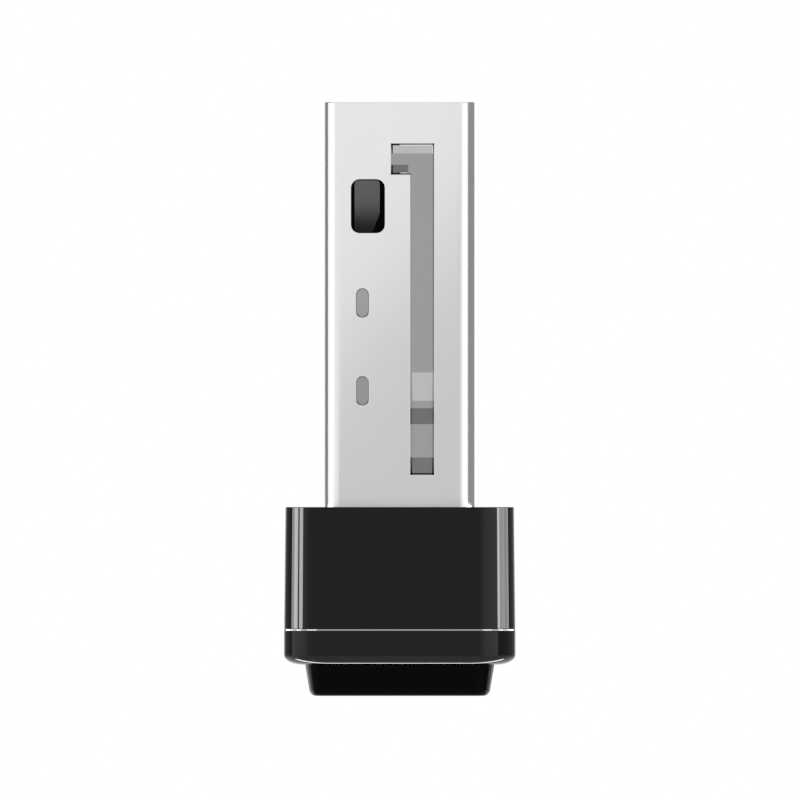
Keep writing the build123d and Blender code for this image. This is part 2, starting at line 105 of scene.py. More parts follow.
def mesh_piece(name, shape, smooth=True):
    """A Blender object at the origin from (points, faces). Curves shade smoothly, and edges
    sharper than a few corner steps stay crisp."""
    mesh = bpy.data.meshes.new(name)
    mesh.from_pydata(shape[0].tolist(), [], shape[1])
    mesh.validate()
    if smooth:
        mesh.shade_smooth()
        mesh.set_sharp_from_angle(angle=np.radians(24))
    piece = bpy.data.objects.new(name, mesh)
    bpy.context.scene.collection.objects.link(piece)
    return piece


def prism(outline_near, outline_far, axis, near, far):
    """A closed block between two outlines of equal count, one at each depth along an axis. An
    outline is (x, z) for axis "y" and (y, z) for axis "x", and runs anticlockwise in its plane."""
    layers = []
    for outline, depth in ((outline_near, near), (outline_far, far)):
        flat = np.asarray(outline, float)
        place = np.full(len(flat), depth)
        columns = [flat[:, 0], place, flat[:, 1]] if axis == "y" else [place, flat[:, 0], flat[:, 1]]
        layers.append(np.column_stack(columns))
    return loft(layers, ends="closed")


def oblong(centre, half_wide, half_long, radius, steps=9):
    """A flat outline with rounded corners about a centre, anticlockwise, as (across, up) points."""
    turn = np.linspace(0, np.pi / 2, steps)
    points = []
    for quarter, sign in enumerate([(1, 1), (-1, 1), (-1, -1), (1, -1)]):
        middle = np.array(sign) * (half_wide - radius, half_long - radius)
        angle = turn + quarter * np.pi / 2
        points.append(middle + radius * np.stack([np.cos(angle), np.sin(angle)], 1))
    return np.concatenate(points) + centre


latch_window = dict(x=-0.955 * MM, drop=3.125 * MM, wide=1.013 * MM, long=1.613 * MM, corner=0.26 * MM)
dimple_x = -1.12 * MM
dimple_drops = (6.03 * MM, 8.67 * MM)
dimple_wide = 0.396 * MM
dimple_long = 0.89 * MM
dimple_deep = 0.12 * MM
dimple_slope = 0.03 * MM
slot_left = 0.315 * MM
slot_right = 1.036 * MM
slot_hook_left = -0.267 * MM
slot_top_z = tip_z - 1.24 * MM
slot_hook_z = tip_z - 2.18 * MM
slot_foot_z = tip_z - 11.20 * MM
slot_draw = 0.048 * MM
face_window_wide = 2.5 * MM
face_window_long = 2.2 * MM
face_window_pitch = 5.7 * MM
face_window_z = tip_z - 5.16 * MM
seam_gap = 0.04 * MM
dovetail_reach = 0.9 * MM
dovetail_long = 1.7 * MM
dovetail_flare = 0.2 * MM
dovetail_drops = (3.1 * MM, 9.0 * MM)
face_window_corner = 0.15 * MM
clear = 0.2 * MM


def hooked_outline(inset):
    """The slot's six corners, each side moved inwards by inset, anticlockwise in (x, z)."""
    return [
        (slot_hook_left + inset, slot_top_z - inset),
        (slot_hook_left + inset, slot_hook_z + inset),
        (slot_left + inset, slot_hook_z + inset),
        (slot_left + inset, slot_foot_z + inset),
        (slot_right - inset, slot_foot_z + inset),
        (slot_right - inset, slot_top_z - inset),
    ]


def seam_band():
    """The dovetailed seam as one thin closed band in (y, z): down one side of the line and back up
    the other, half the gap to each side, with the corners of the dovetails moved along both axes."""
    half = seam_gap / 2
    down = [(-half, tip_z + clear)]
    back = [(half, tip_z + clear)]
    for drop in dovetail_drops:
        top, foot = tip_z - drop + dovetail_long / 2, tip_z - drop - dovetail_long / 2
        down += [(-half, top - dovetail_flare - half), (dovetail_reach - half, top - half),
                 (dovetail_reach - half, foot + half), (-half, foot + dovetail_flare + half)]
        back += [(half, top - dovetail_flare + half), (dovetail_reach + half, top + half),
                 (dovetail_reach + half, foot - half), (half, foot + dovetail_flare - half)]
    down.append((-half, shell_rear_z - clear))
    back.append((half, shell_rear_z - clear))
    return down + back[::-1]


def shell_cutters():
    """Every hole of the shell as closed blocks: both sides' windows, dimples and slots, the two
    pairs of face windows, and the seam."""
    outside = shell_wide / 2
    wall_far = outside - shell_wall - clear
    blocks = []
    for side in (-1, 1):
        order = 1 if side < 0 else -1
        window = oblong((latch_window["x"], tip_z - latch_window["drop"]), latch_window["wide"] / 2,
                        latch_window["long"] / 2, latch_window["corner"])[::order]
        blocks.append(prism(window, window, "y", side * (outside + clear), side * wall_far))
        lean = slot_draw / shell_wall
        near = hooked_outline(-lean * clear)[::order]
        far = hooked_outline(lean * (shell_wall + clear))[::order]
        blocks.append(prism(near, far, "y", side * (outside + clear), side * wall_far))
        for drop in dimple_drops:
            spread = dimple_slope * clear / dimple_deep
            rim = oblong((dimple_x, tip_z - drop), dimple_wide / 2 + spread, dimple_long / 2 + spread,
                         dimple_wide / 2 + spread)[::order]
            floor = oblong((dimple_x, tip_z - drop), dimple_wide / 2 - dimple_slope,
                           dimple_long / 2 - dimple_slope, dimple_wide / 2 - dimple_slope)[::order]
            blocks.append(prism(rim, floor, "y", side * (outside + clear), side * (outside - dimple_deep)))
    for place in (-face_window_pitch / 2, face_window_pitch / 2):
        window = oblong((place, face_window_z), face_window_wide / 2, face_window_long / 2,
                        face_window_corner)
        blocks.append(prism(window, window, "x", -shell_thick, shell_thick))
    seam = seam_band()
    blocks.append(prism(seam, seam, "x", -shell_thick / 2 - clear, -shell_thick / 2 + shell_wall + clear))
    return joined(blocks)


def outward(mesh):
    """Merges doubles and turns every face outwards."""
    work = bmesh.new()
    work.from_mesh(mesh)
    bmesh.ops.remove_doubles(work, verts=work.verts, dist=0.0005 * MM)
    bmesh.ops.recalc_face_normals(work, faces=work.faces)
    work.to_mesh(mesh)
    work.free()


def cut(piece, shape):
    """Takes the closed blocks of a shape out of a piece, and leaves the piece's mesh cut."""
    blocks = mesh_piece("cutting_blocks", shape, smooth=False)
    outward(blocks.data)
    step = piece.modifiers.new("cut", "BOOLEAN")
    step.operation = "DIFFERENCE"
    step.solver = "EXACT"
    step.object = blocks
    depsgraph = bpy.context.evaluated_depsgraph_get()
    finished = bpy.data.meshes.new_from_object(piece.evaluated_get(depsgraph))
    piece.modifiers.clear()
    piece.data = finished
    bpy.data.objects.remove(blocks)


def soften(piece, width, angle=35, segments=2):
    """Rounds a piece's sharp edges a little and keeps its flat faces flat."""
    piece.data.shade_smooth()
    bevel = piece.modifiers.new("edges", "BEVEL")
    bevel.width = width
    bevel.segments = segments
    bevel.limit_method = "ANGLE"
    bevel.angle_limit = np.radians(angle)
    bevel.use_clamp_overlap = True
    bevel.harden_normals = True


def shell_tube():
    """The folded tube as rings: up the outside, over the rounded tip, and down the inside."""
    half_x, half_y = shell_thick / 2, shell_wide / 2
    inner_bend = shell_bend - shell_wall
    near_edge = 0.04 * MM
    rings = [rounded_loop(half_x, half_y, shell_bend, z)
             for z in (shell_rear_z, shell_rear_z + near_edge, tip_z - tip_round - 0.005 * MM)]
    for angle in np.radians([0, 30, 60, 90]):
        inset = tip_round * (1 - np.cos(angle))
        rings.append(rounded_loop(half_x - inset, half_y - inset, shell_bend - inset,
                                  tip_z - tip_round * (1 - np.sin(angle))))
    for z in (tip_z, tip_z - near_edge, shell_rear_z + near_edge, shell_rear_z):
        rings.append(rounded_loop(half_x - shell_wall, half_y - shell_wall, inner_bend, z))
    return loft(rings)


def node_adder(tree):
    """A function that adds one node to a tree. Each input is a value, or a socket to link from."""
    def add(kind, inputs=None, **settings):
        """The new node: settings are its own properties, inputs its sockets by name or number."""
        node = tree.nodes.new(kind)
        for key, value in settings.items():
            setattr(node, key, value)
        for key, value in (inputs or {}).items():
            if isinstance(value, bpy.types.NodeSocket):
                tree.links.new(value, node.inputs[key])
            else:
                node.inputs[key].default_value = value
        return node

    return add


def surface(name):
    """A new material with its node tree, its shader and its node adder."""
    material = bpy.data.materials.new(name)
    material.use_nodes = True
    tree = material.node_tree
    return material, tree, tree.nodes["Principled BSDF"], node_adder(tree)


# Depths under the narrow sides' skin where the painted shade of the recesses fades in, and the margin that
# keeps it off the bends.
recess_shade_below = 0.06 * MM
skin_below = 0.02 * MM
bend_margin = 0.1 * MM


def plated_steel(name, tone, recess_shade_tone):
    """Bright plate: a satin grain along the strip, faint clouds in its gloss, and a darker painted
    shade on the recessed surfaces just under the narrow sides' skin, away from the bends."""
    material, tree, shader, add = surface(name)
    place = add("ShaderNodeTexCoord").outputs["Object"]
    stretched = add("ShaderNodeMapping", {"Vector": place, "Scale": (9000, 9000, 500)})
    grain = add("ShaderNodeTexNoise", {"Vector": stretched.outputs[0], "Scale": 9.0, "Detail": 4.0})
    clouds = add("ShaderNodeTexNoise", {"Vector": place, "Scale": 260.0, "Detail": 3.0})
    shader.inputs["Metallic"].default_value = 1.0
    axes = add("ShaderNodeSeparateXYZ", {"Vector": place})
    depth = add("ShaderNodeMath", {0: axes.outputs["Y"]}, operation="ABSOLUTE").outputs[0]
    across = add("ShaderNodeMath", {0: axes.outputs["X"]}, operation="ABSOLUTE").outputs[0]
    skin = add("ShaderNodeMapRange", {"Value": depth, "From Min": shell_wide / 2 - recess_shade_below,
                                      "From Max": shell_wide / 2 - skin_below})
    inner = add("ShaderNodeMapRange", {"Value": depth, "From Min": shell_wide / 2 - shell_bend,
                                       "From Max": shell_wide / 2 - shell_bend + skin_below})
    flat = add("ShaderNodeMath", {0: across, 1: shell_thick / 2 - shell_bend - bend_margin},
               operation="LESS_THAN")
    # Painted shade: recessed surfaces on the narrow sides, between the skin and the inner bend, take the
    # darker tone.
    recess_shade = add("ShaderNodeMath", {0: inner.outputs[0], 1: skin.outputs[0]}, operation="SUBTRACT",
                  use_clamp=True)
    recess_shade = add("ShaderNodeMath", {0: recess_shade.outputs[0], 1: flat.outputs[0]}, operation="MULTIPLY")
    mixed = add("ShaderNodeMix", {"Factor": recess_shade.outputs[0], "A": tone, "B": recess_shade_tone},
                data_type="RGBA")
    shade = add("ShaderNodeMapRange", {"Value": clouds.outputs["Fac"], "To Min": 0.97, "To Max": 1.03})
    colour = add("ShaderNodeVectorMath", {0: mixed.outputs["Result"], 1: shade.outputs[0]},
                 operation="MULTIPLY")
    tree.links.new(colour.outputs[0], shader.inputs["Base Color"])
    rough = add("ShaderNodeMapRange", {"Value": grain.outputs["Fac"], "To Min": 0.17, "To Max": 0.23})
    tree.links.new(rough.outputs[0], shader.inputs["Roughness"])
    bump = add("ShaderNodeBump", {"Height": grain.outputs["Fac"], "Strength": 0.12, "Distance": 0.002 * MM})
    tree.links.new(bump.outputs[0], shader.inputs["Normal"])
    return material


shell = mesh_piece("plug_shell", shell_tube())
cut(shell, shell_cutters())
shell_edge = 0.02 * MM
soften(shell, shell_edge)
shell.data.materials.clear()
# The second tone is the painted shade of the narrow sides' recesses.
shell.data.materials.append(plated_steel("bright_plate", (0.80, 0.80, 0.80, 1), (0.385, 0.385, 0.385, 1)))
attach(shell, "root")
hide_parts("usb_shell")


# ---- side latches ----
# Hooked strips of spring steel behind the slots in the narrow sides, one on each. They are
# blanked, joggled twice near the foot and turned out at their ends.
# Their metal is the shell's plate darkened from 0.80 to 0.48, a painted shade for the slot they sit in.
shaded_latch_plate = plated_steel("latch_plate_painted_shade", (0.48, 0.48, 0.48, 1), (0.48, 0.48, 0.48, 1))


def dress(node_name, material):
    """Gives a CAD node its finish."""
    node = nodes[node_name]
    node.data.materials.clear()
    node.data.materials.append(material)


for name in ("front_side_latch", "back_side_latch"):
    dress(name, shaded_latch_plate)


# ---- contact carrier, cover and board holder ----
# Black glass-filled mouldings: the tongue with its lugs in the side windows, the thin lid over
# the board pocket, and the ring inside the housing that holds the board's ears.
def moulded_black(name, tone, rough_low, rough_high, grain_scale, grain_height, ior):
    """Black plastic: fine spark-eroded grain in bump and gloss, and slow clouds in the gloss."""
    material, tree, shader, add = surface(name)
    place = add("ShaderNodeTexCoord").outputs["Object"]
    grain = add("ShaderNodeTexNoise", {"Vector": place, "Scale": grain_scale, "Detail": 5.0})
    clouds = add("ShaderNodeTexNoise", {"Vector": place, "Scale": 300.0, "Detail": 2.0})
    shader.inputs["IOR"].default_value = ior
    shade = add("ShaderNodeMapRange", {"Value": clouds.outputs["Fac"], "To Min": 0.8, "To Max": 1.2})
    colour = add("ShaderNodeVectorMath", {0: tone, 1: shade.outputs[0]}, operation="MULTIPLY")
    tree.links.new(colour.outputs[0], shader.inputs["Base Color"])
    mix = add("ShaderNodeMath", {0: grain.outputs["Fac"], 1: clouds.outputs["Fac"]}, operation="MULTIPLY")
    rough = add("ShaderNodeMapRange", {"Value": mix.outputs[0], "From Min": 0.1, "From Max": 0.4,
                                       "To Min": rough_low, "To Max": rough_high})
    tree.links.new(rough.outputs[0], shader.inputs["Roughness"])
    bump = add("ShaderNodeBump", {"Height": grain.outputs["Fac"], "Strength": 0.15,
                                  "Distance": grain_height})
    tree.links.new(bump.outputs[0], shader.inputs["Normal"])
    return material


lug_dull_below = 0.10 * MM
lug_bright_above = 0.06 * MM
lug_polish = 0.16


def carrier_plastic():
    """The tongue's plastic: nearly matt, and polished where the lugs come up to the shell's face."""
    material = moulded_black("carrier_black", (0.0015, 0.0015, 0.0015), 0.8, 0.95, 9000.0, 0.002 * MM, 1.12)
    tree = material.node_tree
    add = node_adder(tree)
    shader = tree.nodes["Principled BSDF"]
    dull = shader.inputs["Roughness"].links[0].from_socket
    place = tree.nodes["Texture Coordinate"].outputs["Object"]
    axes = add("ShaderNodeSeparateXYZ", {"Vector": place})
    depth = add("ShaderNodeMath", {0: axes.outputs["Y"]}, operation="ABSOLUTE").outputs[0]
    polish = add("ShaderNodeMapRange", {"Value": depth, "From Min": shell_wide / 2 - lug_dull_below,
                                        "From Max": shell_wide / 2 - lug_bright_above,
                                        "To Min": 1.0, "To Max": lug_polish})
    rough = add("ShaderNodeMath", {0: dull, 1: polish.outputs[0]}, operation="MULTIPLY")
    tree.links.new(rough.outputs[0], shader.inputs["Roughness"])
    return material


carrier_black = carrier_plastic()
matt_black = moulded_black("matt_black", (0.012, 0.012, 0.012), 0.35, 0.5, 7000.0, 0.004 * MM, 1.45)
dress("contact_carrier", carrier_black)
dress("carrier_cover", carrier_black)
dress("board_holder", matt_black)


# ---- contacts and their solder ----
# Four strips of phosphor bronze, gold over nickel, pressed into the tongue. Their feet are
# soldered to the board in small wedges.
def plated_metal(name, tone, rough_low, rough_high, streak=(4000, 4000, 400)):
    """Thin plating: streaks along the strip in the gloss, small pits in the bump, and clouds that
    darken the tone a little."""
    material, tree, shader, add = surface(name)
    place = add("ShaderNodeTexCoord").outputs["Object"]
    stretched = add("ShaderNodeMapping", {"Vector": place, "Scale": streak})
    streaks = add("ShaderNodeTexNoise", {"Vector": stretched.outputs[0], "Scale": 8.0, "Detail": 4.0})
    pits = add("ShaderNodeTexNoise", {"Vector": place, "Scale": 12000.0, "Detail": 3.0})
    clouds = add("ShaderNodeTexNoise", {"Vector": place, "Scale": 900.0, "Detail": 2.0})
    shader.inputs["Metallic"].default_value = 1.0
    shade = add("ShaderNodeMapRange", {"Value": clouds.outputs["Fac"], "To Min": 0.85, "To Max": 1.1})
    colour = add("ShaderNodeVectorMath", {0: tone, 1: shade.outputs[0]}, operation="MULTIPLY")
    tree.links.new(colour.outputs[0], shader.inputs["Base Color"])
    rough = add("ShaderNodeMapRange", {"Value": streaks.outputs["Fac"], "To Min": rough_low,
                                       "To Max": rough_high})
    tree.links.new(rough.outputs[0], shader.inputs["Roughness"])
    bump = add("ShaderNodeBump", {"Height": pits.outputs["Fac"], "Strength": 0.2, "Distance": 0.003 * MM})
    tree.links.new(bump.outputs[0], shader.inputs["Normal"])
    return material


gold = plated_metal("contact_gold", (0.80, 0.56, 0.20), 0.2, 0.36)
for name in ("contact_vbus", "contact_d_minus", "contact_d_plus", "contact_ground"):
    dress(name, gold)
dress("contact_solder", plated_metal("joint_solder", (0.62, 0.62, 0.60), 0.25, 0.45, (900, 900, 900)))


# ---- circuit board ----
# Glass-fibre laminate under a green resist. Copper tracks show through the resist as slightly
# raised, lighter lines, and the routed edges show the bare laminate.
def green_board():
    """Green resist with square cells of track pattern from a brick texture, glass weave in the
    bump, and straw-coloured edges wherever the surface doesn't face along X."""
    material, tree, shader, add = surface("board_resist")
    coordinates = add("ShaderNodeTexCoord")
    place = coordinates.outputs["Object"]
    axes = add("ShaderNodeSeparateXYZ", {"Vector": place})
    sheet = add("ShaderNodeCombineXYZ", {"X": axes.outputs["Y"], "Y": axes.outputs["Z"]})
    tracks = add("ShaderNodeTexBrick", {"Vector": sheet.outputs[0], "Scale": 900.0, "Mortar Size": 0.06,
                                        "Mortar Smooth": 0.2, "Color1": (0, 0, 0, 1),
                                        "Color2": (0.1, 0.1, 0.1, 1), "Mortar": (1, 1, 1, 1)})
    weave = add("ShaderNodeTexWave", {"Vector": sheet.outputs[0], "Scale": 1500.0, "Distortion": 1.5})
    clouds = add("ShaderNodeTexNoise", {"Vector": place, "Scale": 1500.0, "Detail": 4.0})
    resist = add("ShaderNodeMix", {"Factor": tracks.outputs["Color"], "A": (0.010, 0.090, 0.030, 1),
                                   "B": (0.030, 0.200, 0.070, 1)}, data_type="RGBA")
    straw = add("ShaderNodeMix", {"Factor": clouds.outputs["Fac"], "A": (0.36, 0.30, 0.14, 1),
                                  "B": (0.50, 0.44, 0.24, 1)}, data_type="RGBA")
    facing = add("ShaderNodeSeparateXYZ", {"Vector": coordinates.outputs["Normal"]}).outputs["X"]
    facing = add("ShaderNodeMath", {0: facing}, operation="ABSOLUTE").outputs[0]
    broad = add("ShaderNodeMath", {0: facing, 1: 0.5}, operation="GREATER_THAN").outputs[0]
    colour = add("ShaderNodeMix", {"Factor": broad, "A": straw.outputs["Result"],
                                   "B": resist.outputs["Result"]}, data_type="RGBA")
    tree.links.new(colour.outputs["Result"], shader.inputs["Base Color"])
    rough = add("ShaderNodeMapRange", {"Value": clouds.outputs["Fac"], "To Min": 0.25, "To Max": 0.45})
    tree.links.new(rough.outputs[0], shader.inputs["Roughness"])
    height = add("ShaderNodeMath", {0: tracks.outputs["Fac"], 1: weave.outputs["Fac"]}, operation="ADD")
    bump = add("ShaderNodeBump", {"Height": height.outputs[0], "Strength": 0.3, "Distance": 0.006 * MM})
    tree.links.new(bump.outputs[0], shader.inputs["Normal"])
    return material


dress("circuit_board", green_board())


# ---- chips on the board ----
# Epoxy packages with a laser-dulled top, a plated lid over the crystal, a ferrite body with a
# ground top, and the tinned ends of the small chip capacitors and resistors.
package_black = moulded_black("package_black", (0.018, 0.018, 0.020), 0.4, 0.65, 14000.0, 0.006 * MM, 1.5)
ferrite_grey = moulded_black("ferrite_grey", (0.060, 0.058, 0.056), 0.45, 0.7, 8000.0, 0.008 * MM, 1.6)
dress("wifi_chip", package_black)
dress("voltage_regulator", package_black)
dress("power_inductor", ferrite_grey)
dress("crystal", plated_metal("crystal_lid", (0.70, 0.68, 0.62), 0.18, 0.3, (5000, 500, 5000)))


def tinned_chip(name, tone, tone_deep, ends, band):
    """A fired ceramic body with tinned ends. Each end list entry is (low z, high z, low y, high y)
    of one chip, and the tin covers the band at its two z ends."""
    material, tree, shader, add = surface(name)
    place = add("ShaderNodeTexCoord").outputs["Object"]
    axes = add("ShaderNodeSeparateXYZ", {"Vector": place})
    grain = add("ShaderNodeTexNoise", {"Vector": place, "Scale": 9000.0, "Detail": 4.0})
    clouds = add("ShaderNodeTexNoise", {"Vector": place, "Scale": 2500.0, "Detail": 2.0})
    tinned = None
    for low_z, high_z, low_y, high_y in ends:
        middle, reach = (low_z + high_z) / 2, (high_z - low_z) / 2 - band
        offset = add("ShaderNodeMath", {0: axes.outputs["Z"], 1: middle}, operation="SUBTRACT")
        offset = add("ShaderNodeMath", {0: offset.outputs[0]}, operation="ABSOLUTE")
        end = add("ShaderNodeMath", {0: offset.outputs[0], 1: reach}, operation="GREATER_THAN")
        aside = add("ShaderNodeMath", {0: axes.outputs["Y"], 1: (low_y + high_y) / 2}, operation="SUBTRACT")
        aside = add("ShaderNodeMath", {0: aside.outputs[0]}, operation="ABSOLUTE")
        here = add("ShaderNodeMath", {0: aside.outputs[0], 1: (high_y - low_y) / 2}, operation="LESS_THAN")
        both = add("ShaderNodeMath", {0: end.outputs[0], 1: here.outputs[0]}, operation="MULTIPLY")
        if tinned is None:
            tinned = both
        else:
            tinned = add("ShaderNodeMath", {0: tinned.outputs[0], 1: both.outputs[0]}, operation="MAXIMUM")
    body = add("ShaderNodeMix", {"Factor": clouds.outputs["Fac"], "A": tone, "B": tone_deep},
               data_type="RGBA")
    colour = add("ShaderNodeMix", {"Factor": tinned.outputs[0], "A": body.outputs["Result"],
                                   "B": (0.66, 0.66, 0.64, 1)}, data_type="RGBA")
    tree.links.new(colour.outputs["Result"], shader.inputs["Base Color"])
    tree.links.new(tinned.outputs[0], shader.inputs["Metallic"])
    rough = add("ShaderNodeMapRange", {"Value": grain.outputs["Fac"], "To Min": 0.3, "To Max": 0.5})
    tree.links.new(rough.outputs[0], shader.inputs["Roughness"])
    bump = add("ShaderNodeBump", {"Height": grain.outputs["Fac"], "Strength": 0.25, "Distance": 0.004 * MM})
    tree.links.new(bump.outputs[0], shader.inputs["Normal"])
    return material


beside = 0.1 * MM


def whole_span(name):
    """The z and y span of a node that is one chip, with a little room beside it."""
    low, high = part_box(name)
    return [(low.z, high.z, low.y - beside, high.y + beside)]


tin_band = 0.22 * MM
tan_fired, tan_deep = (0.42, 0.30, 0.19, 1), (0.34, 0.23, 0.14, 1)
for name in ("input_capacitor", "output_capacitor", "decoupling_capacitors", "crystal_capacitors",
             "matching_inductor"):
    dress(name, tinned_chip(name + "_fired", tan_fired, tan_deep, whole_span(name), tin_band))
low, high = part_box("matching_capacitors")
chip_long = 1.0 * MM
chip_wide = 0.5 * MM
pair = [(low.z, low.z + chip_long, low.y - beside, low.y + chip_wide + beside),
        (high.z - chip_long, high.z, high.y - chip_wide - beside, high.y + beside)]
dress("matching_capacitors", tinned_chip("matching_capacitors_fired", tan_fired, tan_deep, pair, tin_band))
for name in ("bias_resistor", "led_resistor"):
    dress(name, tinned_chip(name + "_glaze", (0.015, 0.015, 0.017, 1), (0.03, 0.03, 0.034, 1),
                            whole_span(name), tin_band))
antenna_band = 0.25 * MM
dress("chip_antenna", tinned_chip("antenna_fired", (0.70, 0.70, 0.66, 1), (0.60, 0.61, 0.58, 1),
                                  whole_span("chip_antenna"), antenna_band))


def lamp_lens():
    """Clear epoxy with a milky haze: clouds in its tone."""
    material, tree, shader, add = surface("lamp_lens")
    place = add("ShaderNodeTexCoord").outputs["Object"]
    haze = add("ShaderNodeTexNoise", {"Vector": place, "Scale": 4000.0, "Detail": 3.0})
    tone = add("ShaderNodeMix", {"Factor": haze.outputs["Fac"], "A": (0.62, 0.70, 0.66, 1),
                                 "B": (0.80, 0.84, 0.80, 1)}, data_type="RGBA")
    tree.links.new(tone.outputs["Result"], shader.inputs["Base Color"])
    rough = add("ShaderNodeMapRange", {"Value": haze.outputs["Fac"], "To Min": 0.12, "To Max": 0.3})
    tree.links.new(rough.outputs[0], shader.inputs["Roughness"])
    shader.inputs["Transmission Weight"].default_value = 0.4
    shader.inputs["IOR"].default_value = 1.5
    bump = add("ShaderNodeBump", {"Height": haze.outputs["Fac"], "Strength": 0.1, "Distance": 0.003 * MM})
    tree.links.new(bump.outputs[0], shader.inputs["Normal"])
    return material


dress("status_led", lamp_lens())


# ---- sleeve ----
# The housing's wall and roof: one moulding in piano black, mirror smooth, a hair narrower at the
# shoulder than at the seam. It slides over the shell and snaps onto the base ring's spigot.
ring_low, ring_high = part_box("base_ring")
sleeve_low, sleeve_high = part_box("housing_sleeve")
ring_half_x, ring_half_y = ring_high.x, ring_high.y
seam_z, shoulder_z = sleeve_low.z, sleeve_high.z
sleeve_inset = 0.005 * MM
sleeve_lean = 0.04 * MM
housing_corner = 1.1 * MM
sleeve_wall = 0.7 * MM
sleeve_roof = 0.9 * MM
sleeve_edge = 0.02 * MM
sleeve_foot_break = 0.02 * MM
opening_break = 0.02 * MM
roof_margin = 0.05 * MM
slip = 0.03 * MM
room_half_x = ring_half_x - sleeve_inset - sleeve_wall
room_half_y = ring_half_y - sleeve_inset - sleeve_wall
room_corner = housing_corner - sleeve_inset - sleeve_wall


def sleeve_rings():
    """Rings of the sleeve's wall: up the leaning outside, round the shoulder's edge, across the
    roof to the shell's opening, down through it and back down the inside."""
    def outer(inset, z):
        """The sleeve's outline at its foot, moved inwards by inset, at a height."""
        return rounded_loop(ring_half_x - sleeve_inset - inset, ring_half_y - sleeve_inset - inset,
                            housing_corner - sleeve_inset - inset, z)

    def lean(z):
        """The wall's inset at a height: none at the seam, growing evenly to the shoulder."""
        return sleeve_lean * (z - seam_z) / (shoulder_z - seam_z)

    foot_z = seam_z + sleeve_foot_break
    rings = [outer(sleeve_foot_break, seam_z), outer(lean(foot_z), foot_z)]
    for share in (0.02, 0.5, 0.98):
        z = foot_z + share * (shoulder_z - sleeve_edge - foot_z)
        rings.append(outer(lean(z), z))
    for angle in np.radians(np.linspace(0, 90, 6)):
        rings.append(outer(sleeve_lean + sleeve_edge * (1 - np.cos(angle)),
                           shoulder_z - sleeve_edge * (1 - np.sin(angle))))
    roof_z = shoulder_z - sleeve_roof
    opening = (shell_thick / 2 + slip, shell_wide / 2 + slip, shell_bend + slip)
    rings.append(outer(sleeve_lean + sleeve_edge + roof_margin, shoulder_z))
    rings.append(rounded_loop(opening[0] + opening_break, opening[1] + opening_break, opening[2], shoulder_z))
    rings.append(rounded_loop(*opening, shoulder_z - opening_break))
    rings.append(rounded_loop(*opening, roof_z))
    rings.append(rounded_loop(room_half_x, room_half_y, room_corner, roof_z))
    rings.append(rounded_loop(room_half_x, room_half_y, room_corner, seam_z))
    return loft(rings)


gloss_black = moulded_black("piano_black", (0.0006, 0.0006, 0.0006), 0.015, 0.04, 5000.0, 0.0002 * MM, 1.36)
sleeve = mesh_piece("gloss_sleeve", sleeve_rings())
sleeve.data.materials.append(gloss_black)
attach(sleeve, "root")
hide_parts("housing_sleeve")


# ---- base ring ----
# The band under the seam, the same black with a slightly softer gloss. Its top edge is bevelled,
# which makes the bright seam line. Its bottom edge is rounded, furthest in on the wide faces, and
# its spigot snaps into the sleeve.
ring_bottom_z = ring_low.z
ring_bevel_deep = 0.02 * MM
ring_bevel_high = 0.04 * MM
ring_round = 0.3 * MM
ring_wide_round = 0.58 * MM
ring_bore_corner = 0.3 * MM
close_by = 0.02 * MM
spigot_top_z = ring_high.z
spigot_wall = 0.45 * MM
ring_bore_x = room_half_x - slip - spigot_wall
ring_bore_y = room_half_y - slip - spigot_wall


def base_rings():
    """Rings of the band: round its bottom edge, up its side, over the bevel, in to the spigot, up
    and over the spigot, and down the bore."""
    def band(inset, z, extra=0.0):
        """The ring's outline moved inwards by inset, and by extra as well on the wide faces."""
        return rounded_loop(ring_half_x - inset - extra, ring_half_y - inset, housing_corner - inset, z)

    rings = [band(ring_round + close_by, ring_bottom_z, ring_wide_round - ring_round)]
    for angle in np.radians(np.linspace(90, 0, 12)):
        share = 1 - np.cos(angle)
        rings.append(band(ring_round * share, ring_bottom_z + ring_round * (1 - np.sin(angle)),
                          (ring_wide_round - ring_round) * share))
    rings.append(band(0, ring_bottom_z + ring_round + close_by))
    rings.append(band(0, seam_z - ring_bevel_high - close_by))
    for share in (0, 0.1, 0.9, 1):
        rings.append(band(ring_bevel_deep * share, seam_z - ring_bevel_high * (1 - share)))
    rings.append(band(ring_bevel_deep + close_by / 2, seam_z))
    spigot = (room_half_x - slip, room_half_y - slip, room_corner)
    rings.append(rounded_loop(*spigot, seam_z))
    rings.append(rounded_loop(*spigot, spigot_top_z))
    bore = (ring_bore_x, ring_bore_y, ring_bore_corner)
    rings.append(rounded_loop(*bore, spigot_top_z))
    rings.append(rounded_loop(*bore, ring_bottom_z))
    return loft(rings)


satin_black = moulded_black("ring_black", (0.0006, 0.0006, 0.0006), 0.04, 0.08, 5000.0, 0.0003 * MM, 1.36)
ring = mesh_piece("base_band", base_rings())
ring.data.materials.append(satin_black)
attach(ring, "root")
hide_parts("base_ring")


# ---- end cap ----
# Smoked plastic, dark enough to look black and hide what is inside. It tapers to the flat end
# that the adapter stands on, and its hollow neck is pressed into the ring's bore.
cap_half_x, cap_half_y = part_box("end_cap")[1].x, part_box("end_cap")[1].y
neck_top_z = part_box("end_cap")[1].z
cap_corner = 0.6 * MM
cap_round = 0.22 * MM
cap_draft = np.radians(9.5)
cap_floor_z = 0.5 * MM
neck_wall = 0.6 * MM
core_corner = 0.05 * MM


